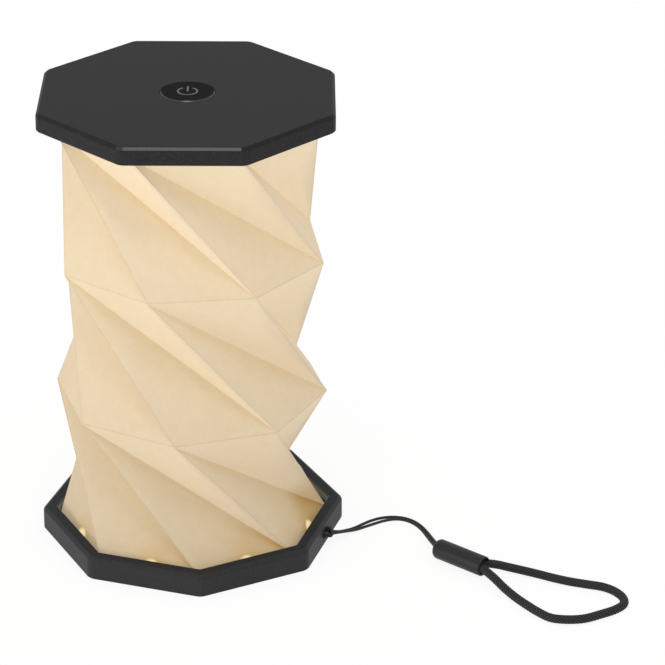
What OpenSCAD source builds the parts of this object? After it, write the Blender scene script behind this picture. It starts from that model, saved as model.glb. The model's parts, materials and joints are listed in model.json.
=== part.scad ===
// Folding rechargeable table lamp: an eight-sided base, a twisted folded shade and an eight-sided lid.
// The lamp stands on z = 0, its axis is Z, and the wrist strap leaves the base towards +X.

/* [Housings] */
// Width of the base and the lid across their flats
across_flats = 100; // [96:0.5:110]
// Radius of the eight upright corners of the base and the lid
corner_r = 4; // [2:0.5:8]
// Radius of the upper outer edge of the lid and the rim of the base
edge_r = 1.1; // [0.4:0.1:1.4]
// Height of the base at its rim
base_h = 8.5; // [8:0.1:12]
// Height of the lid
lid_h = 6.4; // [6:0.1:9]
// Width of the rim round the base, and of the wall round the lid
rim_w = 4.9; // [4.5:0.1:6]
// Radius of the upright corners inside the rim
inner_corner_r = 1.2; // [0.6:0.1:3]
// Height of the top of the base's floor, inside the rim
floor_z = 4.2; // [4.2:0.1:5]
// Thickness of the base's floor
floor_t = 0.8; // [0.6:0.1:1.2]
// Thickness of the lid's top
lid_top_t = 1.5; // [1.2:0.1:1.8]
// Thickness of the plate that closes the base from below
cover_t = 1; // [0.9:0.1:1.2]
// Width of the lip round that plate
cover_lip_w = 1.1; // [0.8:0.1:1.3]

/* [Folded shade] */
// Number of folded tiers
tiers = 3; // [2:1:4]
// Clearance between the shade's sides and the rim round them
shade_gap = 0.75; // [0.6:0.05:3]
// Twist of one tier when the lamp stands open
tier_turn = 54; // [45:1:65]
// Thickness of the folded sheet
sheet_t = 0.6; // [0.3:0.1:0.9]
// Width of the flat rings that hold the sheet's ends
ring_w = 4.9; // [4.4:0.1:6]
// Thickness of those rings
ring_t = 0.8; // [0.5:0.1:1]

/* [Lights and power] */
// Number of lights, one behind the middle of each side
light_count = 8; // [4:4:8]
// Diameter of a light's lens
lens_d = 3.4; // [2.6:0.1:3.6]
// Height of a lens above the floor
lens_rise = 1.8; // [1.2:0.1:2.4]
// Length of the battery along X
battery_x = 46; // [36:0.5:48]
// Length of the battery along Y
battery_y = 40; // [30:0.5:42]
// Thickness of the battery
battery_t = 2; // [1.4:0.1:2]
// Width of the charging socket
usb_w = 8.94; // [8:0.02:9.2]
// Height of the charging socket
usb_h = 3.16; // [2.6:0.02:3.16]
// Depth of the charging socket
usb_l = 7.3; // [6:0.1:7.5]

/* [Push button] */
// Diameter of the button
button_d = 18.5; // [14:0.5:22]
// How far the button stands above the lid
button_rise = 0.2; // [0:0.05:0.6]
// How far the button travels
button_travel = 0.4; // [0.2:0.05:0.5]

/* [Fasteners and magnets] */
// Clearance between the bosses of the screws and the lights' board outside them
boss_gap = 0.9; // [0.4:0.1:1.5]
// Diameter of a screw's shank
screw_d = 1.7; // [1.4:0.1:2]
// Diameter of a screw's head
screw_head_d = 3.4; // [2.8:0.1:3.8]
// Diameter of the boss that takes a screw
boss_d = 4.8; // [4:0.1:5]
// Diameter of a magnet
magnet_d = 3; // [2:0.1:3]
// Thickness of a magnet
magnet_t = 1.8; // [1:0.1:2]

/* [Wrist strap] */
// Diameter of the thin cord
thin_cord_d = 1.1; // [0.8:0.1:1.2]
// Diameter of the braided wrist loop
loop_d = 3.1; // [2.4:0.1:3.2]
// Diameter of the cord stopper
stopper_d = 7.2; // [6.8:0.1:8]
// Length of the cord stopper
stopper_l = 21; // [18:0.5:24]
// Width of the bar that the strap is hitched to
strap_bar_w = 1.8; // [1.2:0.1:2]
// Height of the two slots beside that bar
strap_slot_h = 3; // [2.8:0.1:3.4]

/* [Hidden] */

// Colours
plastic_colour = [0.17, 0.17, 0.175];
button_colour = [0.08, 0.08, 0.085];
sheet_colour = [0.92, 0.84, 0.69];
board_colour = [0.12, 0.33, 0.2];
metal_colour = [0.75, 0.75, 0.77];
cord_colour = [0.07, 0.07, 0.075];

// Fits
cut_over = 0.5;
rest_gap = 0.3;
slide_gap = 0.2;
press_gap = 0.05;

// Eight-sided plan
sides = 8;
side_angle = 360 / sides;
half_side = side_angle / 2;
corner_steps = 5;
edge_steps = 3;
apothem = across_flats / 2;
inner_apothem = apothem - rim_w;
foot_chamfer = 0.4;

// Shade
fold_turn = 90;
shade_r = (inner_apothem - shade_gap) / cos(half_side);
tier_h = 2 * shade_r * sqrt(pow(sin(fold_turn / 2), 2) - pow(sin(tier_turn / 2), 2));
shade_foot_z = floor_z + rest_gap;
shade_top_z = shade_foot_z + tiers * tier_h;
shade_apothem = shade_r * cos(half_side);
ring_apothem = shade_apothem - sheet_t - 2 * rest_gap - ring_t * (shade_apothem / tier_h);

// Lid, which is turned with the shade's top ring
shade_entry = 0.8;
lid_turn = -tiers * tier_turn;
lid_z = shade_top_z - shade_entry;
lid_top_z = lid_z + lid_h;
lid_plate_z = shade_top_z + rest_gap;
lid_plate_t = 1;
lid_ceiling_z = lid_top_z - lid_top_t;
ledge_w = 1.1;

// Base's inner stack
floor_under_z = floor_z - floor_t;
cover_apothem = apothem - cover_lip_w;
bay_inset = 1.5;
bay_apothem = inner_apothem - bay_inset;
pad_t = 0.3;
board_t = 0.8;
led_board_w = 4.5;
lens_border = 0.7;
light_r = ring_apothem - lens_d / 2 - lens_border;
led_board_outer = light_r + led_board_w / 2;
screw_place_r = light_r - led_board_w / 2 - boss_gap - boss_d / 2;
led_x = 2.8;
led_y = 3.5;
led_t = 0.6;
led_hole_d = 4.6;
lens_base_h = 1;

// Charging socket, on the side that faces +Y
usb_place_x = 12.5;
usb_set_back = 0.2;
usb_wall = 0.3;
usb_tongue_t = 0.7;
usb_tongue_w = 6.7;
usb_tongue_short = 1.2;
usb_far_y = apothem - usb_set_back;
usb_near_y = usb_far_y - usb_l;
main_board_x = 34;
main_board_y = 14;
main_board_lift = 0.3;
chip_w = 5;
coil_d = 4.4;
board_part_t = 1;
board_parts_y_share = 0.7;
capacitor_x_shares = [0.2, 0.3, 0.4];

// Button and its switch
button_flange_w = 0.8;
button_flange_t = 0.6;
button_edge_r = 0.3;
button_stem_d = 4;
switch_board_x = 24;
switch_board_y = 16;
switch_board_t = 0.6;
switch_w = 6;
switch_body_t = 0.5;
switch_plunger_d = 3;
switch_plunger_t = 0.25;
switch_top_z = lid_plate_z + lid_plate_t + switch_board_t + switch_body_t + switch_plunger_t;
flange_top_z = lid_ceiling_z - rest_gap / 3;

// Screws and magnets
screw_head_t = 0.5;
screw_sink = 0.6;
magnet_shift = 0.4;
magnet_r = apothem - rim_w / 2 - magnet_shift;
magnet_skin = 1.2;
four_angles = [45, 135, 225, 315];

// Lead from the switch down to the base, loosely coiled inside the shade
lead_d = 1.6;
lead_swing = 1.6;
lead_x = battery_x / 2 + slide_gap + lead_swing + lead_d / 2;
lead_turns = 5;
lead_steps = 40;
lead_hole_d = 6.4;
lead_end_inset = 0.9;

// Strap's anchor in the side that faces +X
strap_slot_w = 1.8;
strap_tunnel_back = 1.3;
strap_tunnel_w = 1.8;
strap_z = 4.3;
hitch_pitch = 1.25;
hitch_lift = 0.35;
hitch_inner_share = 0.8;
bight_out_share = 0.8;

// Routes of the strap, by hand: the two strands of the thin cord, and the braided loop
back_strand = [
    [51.2, 0.9, 4.6], [53.6, 4.2, 3.4], [55.6, 8.2, 2.2], [57.4, 12.2, 1.2], [59.2, 16.2, 0.7],
    [61.4, 19.8, 0.6], [64.2, 22.6, 0.6], [67.6, 24.4, 0.6], [71.4, 25, 0.6], [75.2, 24.2, 0.6],
    [78.6, 22.2, 0.6], [81.6, 19.4, 0.6], [84.4, 15.6, 1], [87, 11.2, 2], [89.2, 7.2, 3.1], [91.2, 3.6, 3.7]
];
front_strand = [
    [51.2, -0.5, 4], [53.8, 2.6, 3.1], [56, 6.8, 1.9], [58.2, 11, 1], [60.4, 14.6, 0.6],
    [62.8, 17.6, 0.6], [65.4, 20.6, 0.6], [68.4, 22.9, 0.6], [71.6, 23.7, 0.6], [74.8, 22.9, 0.6],
    [77.8, 20.9, 0.6], [80.6, 18, 0.6], [83.2, 14.2, 0.9], [85.8, 9.8, 1.8], [88, 5.9, 2.8], [90, 2.5, 3.5]
];
loop_route = [
    [108, -2.6, 3.7], [113.2, -1.2, 3.2], [117.6, -0.2, 2.3], [122.4, 0.2, 1.7], [128, -0.4, 1.6],
    [134, -1.4, 1.6], [140, -2, 1.6], [146, -2, 1.6], [151.6, -2, 1.6], [156.2, -3.6, 1.6],
    [159.8, -6.8, 1.6], [161.2, -11, 1.6], [159.2, -15.6, 1.6], [155, -20.4, 1.6], [150.4, -24.8, 1.6],
    [145, -27.2, 1.6], [139.6, -27.8, 1.6], [134.8, -25.6, 1.6], [130, -22.4, 1.6], [124.6, -18.4, 1.7],
    [119.6, -14.4, 2.2], [114.8, -10.2, 3], [110, -6.6, 3.6], [106.9, -5.4, 3.7]
];
stopper_at = [100, -1, 3.7];
stopper_angle = -21.7;
cord_sides = 8;

// Plain functions
function unit(v) = v / norm(v);
function total(list, i = 0) = i >= len(list) ? [0, 0, 0] : list[i] + total(list, i + 1);

// Outline of an eight-sided plate with rounded corners, from its half width across the flats
function octagon(half_width, corner) = [
    for (side = [0 : sides - 1]) let (centre_r = (half_width - corner) / cos(half_side))
        for (step = [0 : corner_steps]) let (
            middle = half_side + side * side_angle,
            turn = side_angle * (side + step / corner_steps)
        )
            [centre_r * cos(middle) + corner * cos(turn), centre_r * sin(middle) + corner * sin(turn)]
];

module slab(half_width, corner, z, height) {
    translate([0, 0, z])
        linear_extrude(height)
            polygon(octagon(half_width, corner));
}

// Closed eight-sided body with a rounded upper edge and a small chamfer below
module housing(z, height) {
    thin = foot_chamfer / 4;
    hull() {
        slab(apothem - foot_chamfer, corner_r - foot_chamfer, z, thin);
        slab(apothem, corner_r, z + foot_chamfer, height - foot_chamfer - edge_r);
        for (step = [1 : edge_steps]) {
            turn = 90 * step / edge_steps;
            inset = edge_r * (1 - cos(turn));
            slab(apothem - inset, corner_r - inset, z + height - edge_r + edge_r * sin(turn) - thin, thin);
        }
    }
}

// One turn of a part about the axis
module at_angles(angles, r) {
    for (a = angles)
        rotate([0, 0, a])
            translate([r, 0, 0])
                children();
}

module round_bar(d, z, height, facets = 36) {
    translate([0, 0, z])
        cylinder(d = d, h = height, $fn = facets);
}

// Tube swept along a route; level is a direction that the route never follows
function tube_ring(route, i, r, level) =
    let (
        last = len(route) - 1,
        along = unit(route[min(i + 1, last)] - route[max(i - 1, 0)]),
        side = unit(cross(along, level)),
        rise = cross(side, along)
    )
    [for (j = [0 : cord_sides - 1]) let (turn = 360 * (j + 0.5) / cord_sides)
        route[i] + r * (cos(turn) * side + sin(turn) * rise)];

module tube(route, d, level = [0, 0, 1]) {
    rings = len(route);
    points = [for (i = [0 : rings - 1]) each tube_ring(route, i, d / 2 / cos(180 / cord_sides), level)];
    walls = [for (i = [0 : rings - 2]) for (j = [0 : cord_sides - 1])
        let (k = (j + 1) % cord_sides, a = i * cord_sides, b = a + cord_sides)
            each [[a + j, b + k, b + j], [a + j, a + k, b + k]]];
    near_end = [for (j = [cord_sides - 1 : -1 : 0]) j];
    far_end = [for (j = [0 : cord_sides - 1]) (rings - 1) * cord_sides + j];
    polyhedron(points, concat(walls, [near_end, far_end]));
}

// Base
module base_tray() {
    color(plastic_colour)
        difference() {
            housing(0, base_h);
            rim_well();
            slab(cover_apothem, corner_r, -cut_over, cover_t + cut_over);
            base_bay();
            at_angles([for (i = [0 : light_count - 1]) i * 360 / light_count], light_r)
                round_bar(led_hole_d, 0, base_h);
            at_angles(four_angles, magnet_r)
                round_bar(magnet_d + 2 * press_gap, 0, base_h - magnet_skin);
            usb_opening();
            strap_anchor();
            lead_hole();
        }
}

module rim_well() {
    lead_in = edge_r / 2;
    hull() {
        slab(inner_apothem, inner_corner_r, floor_z, base_h - floor_z - lead_in);
        slab(inner_apothem + lead_in, inner_corner_r + lead_in, base_h, cut_over);
    }
}

// Space under the floor, with the bosses for the screws left standing in it
module base_bay() {
    difference() {
        slab(bay_apothem, inner_corner_r, 0, floor_under_z);
        at_angles(four_angles, screw_place_r)
            round_bar(boss_d, 0, floor_under_z + cut_over);
    }
    at_angles(four_angles, screw_place_r)
        round_bar(screw_d + 2 * press_gap, 0, floor_under_z - screw_head_t / 2);
}

module usb_outline(width, height) {
    flat = width - height;
    square([flat, height], center = true);
    for (end = [-1, 1])
        translate([end * flat / 2, 0])
            circle(d = height, $fn = 32);
}

module usb_place(y, length, width, height) {
    translate([usb_place_x, y + length, cover_t + usb_h / 2])
        rotate([90, 0, 0])
            linear_extrude(length)
                usb_outline(width, height);
}

module usb_opening() {
    usb_place(usb_near_y - press_gap, usb_l + rim_w, usb_w + 2 * press_gap, usb_h + 2 * press_gap);
    translate([usb_place_x - usb_w / 2 - press_gap, usb_near_y - press_gap, 0])
        cube([usb_w + 2 * press_gap, inner_apothem - usb_near_y + press_gap, cover_t + usb_h + press_gap]);
}

// Two slots beside an upright bar, joined behind it, for the thin cord to be hitched round
module strap_anchor() {
    tunnel_far_x = apothem - strap_tunnel_back - press_gap;
    half = strap_bar_w / 2 + strap_slot_w;
    translate([tunnel_far_x - strap_tunnel_w, -half, strap_z - strap_slot_h / 2])
        cube([strap_tunnel_w, 2 * half, strap_slot_h]);
    for (side = [-1, 1])
        translate([tunnel_far_x - strap_tunnel_w, side * (half - strap_slot_w / 2), strap_z])
            rotate([0, 90, 0])
                linear_extrude(rim_w) {
                    square([strap_slot_h - strap_slot_w, strap_slot_w], center = true);
                    for (end = [-1, 1])
                        translate([end * (strap_slot_h - strap_slot_w) / 2, 0])
                            circle(d = strap_slot_w, $fn = 24);
                }
}

module lead_hole() {
    translate([lead_x, 0, 0])
        round_bar(lead_hole_d, 0, lid_ceiling_z);
}

module base_cover() {
    color(plastic_colour)
        difference() {
            slab(cover_apothem - slide_gap / 2, corner_r, 0, cover_t);
            at_angles(four_angles, screw_place_r) {
                round_bar(screw_d + 2 * slide_gap, -cut_over, cover_t + 2 * cut_over);
                round_bar(screw_head_d + 2 * slide_gap, -cut_over, screw_sink + cut_over);
            }
        }
}

module screw(length) {
    round_bar(screw_head_d, 0, screw_head_t);
    round_bar(screw_d, 0, length, 24);
}

module base_screws() {
    color(metal_colour)
        at_angles(four_angles, screw_place_r)
            translate([0, 0, screw_sink - screw_head_t])
                screw(floor_under_z - screw_sink);
}

module battery() {
    color("silver")
        translate([-battery_x / 2, -battery_y / 2, cover_t + pad_t])
            cube([battery_x, battery_y, battery_t]);
}

module battery_pad() {
    color("dimgray")
        translate([-battery_x / 2, -battery_y / 2, cover_t])
            cube([battery_x, battery_y, pad_t]);
}

module main_board() {
    color(board_colour)
        translate([-main_board_x / 2, usb_near_y - main_board_y, cover_t + main_board_lift])
            cube([main_board_x, main_board_y, board_t]);
}

// Charging chip, coil and capacitors on the board
module board_parts() {
    top_z = cover_t + main_board_lift + board_t;
    middle_y = usb_near_y - main_board_y * board_parts_y_share;
    color([0.1, 0.1, 0.1])
        translate([-chip_w / 2, middle_y - chip_w / 2, top_z])
            cube([chip_w, chip_w, board_part_t]);
    color("dimgray")
        translate([-main_board_x / 3, middle_y, 0])
            round_bar(coil_d, top_z, board_part_t);
    color("tan")
        for (share = capacitor_x_shares)
            translate([main_board_x * share, middle_y, top_z])
                cube([board_part_t, 2 * board_part_t, board_part_t]);
}

module usb_socket() {
    color(metal_colour)
        difference() {
            usb_place(usb_near_y, usb_l, usb_w, usb_h);
            usb_place(usb_near_y + usb_wall, usb_l, usb_w - 2 * usb_wall, usb_h - 2 * usb_wall);
        }
    color([0.1, 0.1, 0.1])
        translate([usb_place_x - usb_tongue_w / 2, usb_near_y + usb_wall / 2,
            cover_t + usb_h / 2 - usb_tongue_t / 2])
            cube([usb_tongue_w, usb_l - usb_tongue_short, usb_tongue_t]);
}

module led_board() {
    color(board_colour)
        difference() {
            slab(led_board_outer, inner_corner_r, floor_under_z - board_t, board_t);
            slab(led_board_outer - led_board_w, inner_corner_r, 0, floor_z);
            usb_opening();
        }
}

module leds() {
    color("khaki")
        at_angles([for (i = [0 : light_count - 1]) i * 360 / light_count], light_r)
            translate([-led_x / 2, -led_y / 2, floor_under_z])
                cube([led_x, led_y, led_t]);
}

// Domed lens that stands on each light and comes up through the ring
module led_lenses() {
    dome_h = lens_rise + floor_t - led_t - lens_base_h;
    color("lightyellow")
        at_angles([for (i = [0 : light_count - 1]) i * 360 / light_count], light_r)
            translate([0, 0, floor_under_z + led_t])
                rotate_extrude($fn = 32)
                    polygon(concat(
                        [[0, 0], [lens_d / 2, 0]],
                        [for (turn = [0 : 15 : 90])
                            [lens_d / 2 * cos(turn), lens_base_h + dome_h * sin(turn)]]
                    ));
}

// Flat ring that the folded sheet's end is fixed round
module shade_ring(z) {
    difference() {
        slab(ring_apothem, inner_corner_r, z, ring_t);
        slab(ring_apothem - ring_w, inner_corner_r, z - cut_over, ring_t + 2 * cut_over);
    }
}

module lower_shade_ring() {
    color(plastic_colour)
        difference() {
            shade_ring(floor_z);
            at_angles([for (i = [0 : light_count - 1]) i * 360 / light_count], light_r)
                round_bar(lens_d + slide_gap, floor_z - cut_over, ring_t + 2 * cut_over);
        }
}

module upper_shade_ring() {
    color(plastic_colour)
        rotate([0, 0, lid_turn])
            shade_ring(lid_plate_z - ring_t);
}

module base_magnets() {
    color(metal_colour)
        at_angles(four_angles, magnet_r)
            round_bar(magnet_d, base_h - magnet_skin - magnet_t, magnet_t);
}

// Folded shade. Ring 0 stands in the base, and each ring above it is turned by one tier's twist.
// From corner i of the upper ring, a ridge runs to corner i below and a valley to corner i + 1.
function corner_at(k, i) =
    let (turn = half_side - k * tier_turn + i * side_angle)
    [shade_r * cos(turn), shade_r * sin(turn), shade_foot_z + k * tier_h];
function ridge_panel(k, i) =
    unit(cross(corner_at(k, i) - corner_at(k + 1, i), corner_at(k, i + 1) - corner_at(k + 1, i)));
function valley_panel(k, i) =
    unit(cross(corner_at(k, i + 1) - corner_at(k + 1, i), corner_at(k + 1, i + 1) - corner_at(k + 1, i)));
function corner_inset(k, i) =
    let (
        below = k > 0 ? [ridge_panel(k - 1, i), valley_panel(k - 1, i), valley_panel(k - 1, i - 1)] : [],
        above = k < tiers ? [ridge_panel(k, i), ridge_panel(k, i - 1), valley_panel(k, i - 1)] : [],
        sum = total(concat(below, above)),
        level = k > 0 && k < tiers ? 1 : 0,
        lean = [sum[0], sum[1], sum[2] * level]
    )
    sheet_t * unit(lean) * len(concat(below, above)) / norm(lean);

module folded_shade() {
    rings = tiers + 1;
    count = rings * sides;
    outer = [for (k = [0 : tiers]) for (i = [0 : sides - 1]) corner_at(k, i)];
    inner = [for (k = [0 : tiers]) for (i = [0 : sides - 1]) corner_at(k, i) - corner_inset(k, i)];
    panels = [for (k = [0 : tiers - 1]) for (i = [0 : sides - 1])
        let (n = (i + 1) % sides, low = k * sides, high = low + sides)
            each [[high + i, low + n, low + i], [high + i, high + n, low + n]]];
    lining = [for (panel = panels) [panel[0] + count, panel[2] + count, panel[1] + count]];
    foot = [for (i = [0 : sides - 1]) let (n = (i + 1) % sides)
        each [[i, n, n + count], [i, n + count, i + count]]];
    top_i = tiers * sides;
    head = [for (i = [0 : sides - 1]) let (n = (i + 1) % sides)
        each [[top_i + n, top_i + i, top_i + i + count], [top_i + n, top_i + i + count, top_i + n + count]]];
    color(sheet_colour)
        polyhedron(concat(outer, inner), concat(panels, lining, foot, head));
}

// Lid
module lid_cover() {
    color(plastic_colour)
        difference() {
            rotate([0, 0, lid_turn])
                difference() {
                    housing(lid_z, lid_h);
                    slab(inner_apothem, inner_corner_r, lid_z - cut_over,
                        lid_plate_z + lid_plate_t - lid_z + cut_over);
                    lid_bay();
                    at_angles(four_angles, magnet_r)
                        round_bar(magnet_d + 2 * press_gap, lid_z - cut_over,
                            magnet_t + 2 * press_gap + cut_over);
                }
            round_bar(button_d + 2 * slide_gap, lid_z, 2 * lid_h, 64);
        }
}

// Space above the lid's plate, with its bosses left standing
module lid_bay() {
    bay_z = lid_plate_z + lid_plate_t;
    difference() {
        slab(inner_apothem - ledge_w, inner_corner_r, lid_z, lid_ceiling_z - lid_z);
        at_angles(four_angles, screw_place_r)
            round_bar(boss_d, bay_z, lid_h);
    }
    at_angles(four_angles, screw_place_r)
        round_bar(screw_d + 2 * press_gap, lid_z, lid_ceiling_z - lid_z - screw_head_t);
}

module lid_plate() {
    color(plastic_colour)
        difference() {
            rotate([0, 0, lid_turn])
                difference() {
                    slab(inner_apothem - slide_gap / 2, inner_corner_r, lid_plate_z, lid_plate_t);
                    at_angles(four_angles, screw_place_r) {
                        round_bar(screw_d + 2 * slide_gap, lid_z, lid_h);
                        round_bar(screw_head_d + 2 * slide_gap, lid_z, lid_plate_z - lid_z + screw_sink);
                    }
                }
            lead_hole();
        }
}

module lid_screws() {
    color(metal_colour)
        rotate([0, 0, lid_turn])
            at_angles(four_angles, screw_place_r)
                translate([0, 0, lid_plate_z + screw_sink - screw_head_t])
                    screw(lid_ceiling_z - lid_plate_z - screw_sink - screw_head_t);
}

module lid_magnets() {
    color(metal_colour)
        rotate([0, 0, lid_turn])
            at_angles(four_angles, magnet_r)
                round_bar(magnet_d, lid_z + press_gap, magnet_t);
}

module switch_board() {
    color(board_colour)
        translate([-switch_board_x / 2, -switch_board_y / 2, lid_plate_z + lid_plate_t])
            cube([switch_board_x, switch_board_y, switch_board_t]);
}

module tact_switch() {
    body_z = lid_plate_z + lid_plate_t + switch_board_t;
    color([0.1, 0.1, 0.1])
        translate([-switch_w / 2, -switch_w / 2, body_z])
            cube([switch_w, switch_w, switch_body_t]);
    color(metal_colour)
        round_bar(switch_plunger_d, body_z + switch_body_t, switch_plunger_t);
}

// Round button with a flange that keeps it under the lid's top, and a stem over the switch
module power_button() {
    stem_z = switch_top_z + button_travel + press_gap;
    top_z = lid_top_z + button_rise;
    flange_z = flange_top_z - button_flange_t;
    button_r = button_d / 2;
    flange_r = button_r + button_flange_w;
    color(button_colour) {
        rotate_extrude($fn = 64)
            polygon(concat(
                [[0, flange_z], [flange_r, flange_z], [flange_r, flange_top_z], [button_r, flange_top_z]],
                [for (turn = [0 : 30 : 90])
                    [button_r - button_edge_r * (1 - cos(turn)), top_z - button_edge_r * (1 - sin(turn))]],
                [[0, top_z]]
            ));
        round_bar(button_stem_d, stem_z, flange_top_z - stem_z);
    }
}

// Loosely coiled lead between the switch and the base
module switch_lead() {
    low_z = cover_t + lead_end_inset;
    high_z = lid_plate_z + lid_plate_t + switch_board_t;
    color("firebrick")
        tube([for (i = [0 : lead_steps]) let (share = i / lead_steps, turn = 360 * lead_turns * share)
            [lead_x + lead_swing * cos(turn), lead_swing * sin(turn), low_z + share * (high_z - low_z)]],
            lead_d, [1, 0, 0]);
}

// Strap
module hitch_turn(z) {
    far_x = apothem - strap_tunnel_back - strap_tunnel_w / 2;
    slot_x = apothem - strap_tunnel_back / 2;
    out_x = apothem + hitch_lift + thin_cord_d / 2;
    y = strap_bar_w / 2 + strap_slot_w / 2;
    inner_y = y * hitch_inner_share;
    tube([[out_x, -y / 2, z], [out_x, -y, z], [slot_x, -y, z], [far_x, -inner_y, z],
        [far_x, inner_y, z], [slot_x, y, z], [out_x, y, z], [out_x, y / 2, z]], thin_cord_d);
}

// The cord's hitch: two turns round the bar, and the bight that crosses in front of them
module strap_hitch() {
    out_x = apothem + hitch_lift + thin_cord_d;
    top = strap_z + 1.5 * hitch_pitch;
    low = strap_z - 1.5 * hitch_pitch;
    y = strap_bar_w / 2;
    color(cord_colour) {
        hitch_turn(strap_z - hitch_pitch / 2);
        hitch_turn(strap_z + hitch_pitch / 2);
        tube([[out_x - thin_cord_d / 2, y, low], [out_x + thin_cord_d / 2, y / 2, low + hitch_pitch / 2],
            [out_x + thin_cord_d * bight_out_share, y / 3, strap_z],
            [out_x + thin_cord_d / 2, y / 2, top - hitch_pitch / 2], [out_x - thin_cord_d / 2, y, top]],
            thin_cord_d, [0, 1, 0]);
    }
}

module strap_cord() {
    color(cord_colour) {
        tube(back_strand, thin_cord_d);
        tube(front_strand, thin_cord_d);
    }
}

// Barrel that joins the thin cord to the braided loop, with a socket for the loop's ends
module cord_stopper() {
    end_r = stopper_d / 6;
    half = stopper_l / 2;
    socket_r = stopper_d / 2 - end_r / 2;
    mouth_r = thin_cord_d * 1.3;
    color(cord_colour)
        translate(stopper_at)
            rotate([0, 90, stopper_angle])
                rotate_extrude($fn = 40)
                    polygon(concat(
                        [[0, -half + end_r], [mouth_r, -half + end_r], [mouth_r, -half]],
                        [for (turn = [-90 : 22.5 : 0])
                            [stopper_d / 2 - end_r + end_r * cos(turn), -half + end_r + end_r * sin(turn)]],
                        [for (turn = [0 : 30 : 90])
                            [stopper_d / 2 - end_r / 2 + end_r / 2 * cos(turn),
                                half - end_r / 2 + end_r / 2 * sin(turn)]],
                        [[socket_r, half], [socket_r, half - loop_d], [0, half - loop_d]]
                    ));
}

module wrist_loop() {
    color(cord_colour)
        tube(loop_route, loop_d);
}

base_tray();
base_cover();
base_screws();
battery();
battery_pad();
main_board();
board_parts();
usb_socket();
led_board();
leds();
led_lenses();
lower_shade_ring();
base_magnets();
folded_shade();
upper_shade_ring();
lid_cover();
lid_plate();
lid_screws();
lid_magnets();
switch_board();
tact_switch();
power_button();
switch_lead();
strap_hitch();
strap_cord();
cord_stopper();
wrist_loop();
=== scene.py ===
"""Looks of the folding table lamp: cream folded shade, charcoal base and lid, push button and wrist strap.

Lengths are in metres, and the lamp stands on z = 0 with its axis on Z.
"""

import json
import math

import bmesh
import bpy
import numpy as np
from mathutils import Matrix, Vector, noise


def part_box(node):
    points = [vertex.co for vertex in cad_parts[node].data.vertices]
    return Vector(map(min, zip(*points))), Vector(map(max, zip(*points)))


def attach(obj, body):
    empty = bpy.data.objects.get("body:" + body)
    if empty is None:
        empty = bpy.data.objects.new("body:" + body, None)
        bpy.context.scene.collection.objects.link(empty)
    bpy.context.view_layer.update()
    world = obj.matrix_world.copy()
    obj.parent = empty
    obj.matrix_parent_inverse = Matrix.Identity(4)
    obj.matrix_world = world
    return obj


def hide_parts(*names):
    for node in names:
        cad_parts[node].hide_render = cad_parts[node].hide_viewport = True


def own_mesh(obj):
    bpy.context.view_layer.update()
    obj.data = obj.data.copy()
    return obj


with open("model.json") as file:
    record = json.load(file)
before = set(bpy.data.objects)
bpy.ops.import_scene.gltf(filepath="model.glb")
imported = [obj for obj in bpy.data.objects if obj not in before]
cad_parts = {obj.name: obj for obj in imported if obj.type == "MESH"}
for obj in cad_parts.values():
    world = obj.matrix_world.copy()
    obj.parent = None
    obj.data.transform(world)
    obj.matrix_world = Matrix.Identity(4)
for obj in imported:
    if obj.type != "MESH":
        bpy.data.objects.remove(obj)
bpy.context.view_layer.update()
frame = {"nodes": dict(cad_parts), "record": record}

# Sizes of the housings, as in the lamp's solids
SIDES = 8
HALF_SIDE = math.pi / SIDES
APOTHEM = 0.05
RIM_WIDTH = 0.0049
INNER_APOTHEM = APOTHEM - RIM_WIDTH
CORNER_RADIUS = 0.004
INNER_CORNER_RADIUS = 0.0012
EDGE_SIZE = 0.0011
TRAY_EDGE_SIZE = 0.0017
FOOT_CHAMFER = 0.0004
WALL_BAND = 0.0032
CUT_OVER = 0.0005
PRESS_GAP = 0.00005
SLIDE_GAP = 0.0002
SLIVER = 0.00005
FACING = 0.9
SMOOTH_ANGLE = math.radians(32)
FOUR_ANGLES = [math.radians(45 + 90 * i) for i in range(4)]
SIDE_ANGLES = [2 * HALF_SIDE * i for i in range(SIDES)]

BASE_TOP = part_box("base_tray")[1][2]
FLOOR_UNDER = 0.0034
FLOOR_TOP = 0.0042
COVER_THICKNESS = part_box("base_cover")[1][2]
COVER_APOTHEM = APOTHEM - 0.0011
BAY_APOTHEM = INNER_APOTHEM - 0.0015
LIGHT_HOLE = 0.0046
LIGHT_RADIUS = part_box("led_lenses")[1][0] - 0.0017
BOSS_DIAMETER = 0.0048
SCREW_HOLE = 0.0018
SCREW_RADIUS = LIGHT_RADIUS - 0.00225 - 0.0009 - BOSS_DIAMETER / 2
SCREW_HEAD = 0.0005
MAGNET_HOLE = 0.0031
MAGNET_RADIUS = APOTHEM - RIM_WIDTH / 2 - 0.0004
MAGNET_SKIN = 0.0012
LEAD_X = 0.0256
LEAD_HOLE = 0.0064

SOCKET_X = 0.0125
SOCKET_WIDTH = 0.00894
SOCKET_HEIGHT = 0.00316
SOCKET_LENGTH = 0.0073
SOCKET_WALL = 0.0003
SOCKET_NEAR = APOTHEM - 0.0002 - SOCKET_LENGTH
SOCKET_MIDDLE = COVER_THICKNESS + SOCKET_HEIGHT / 2
TONGUE_WIDTH = 0.0067
TONGUE_THICKNESS = 0.0007
TONGUE_SHORT = 0.0012

BAR_WIDTH = 0.0018
SLOT_WIDTH = 0.0018
SLOT_HEIGHT = 0.003
SLOT_MIDDLE = 0.0043
TUNNEL_WIDTH = 0.0018
TUNNEL_FAR = APOTHEM - 0.0013 - PRESS_GAP

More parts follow.
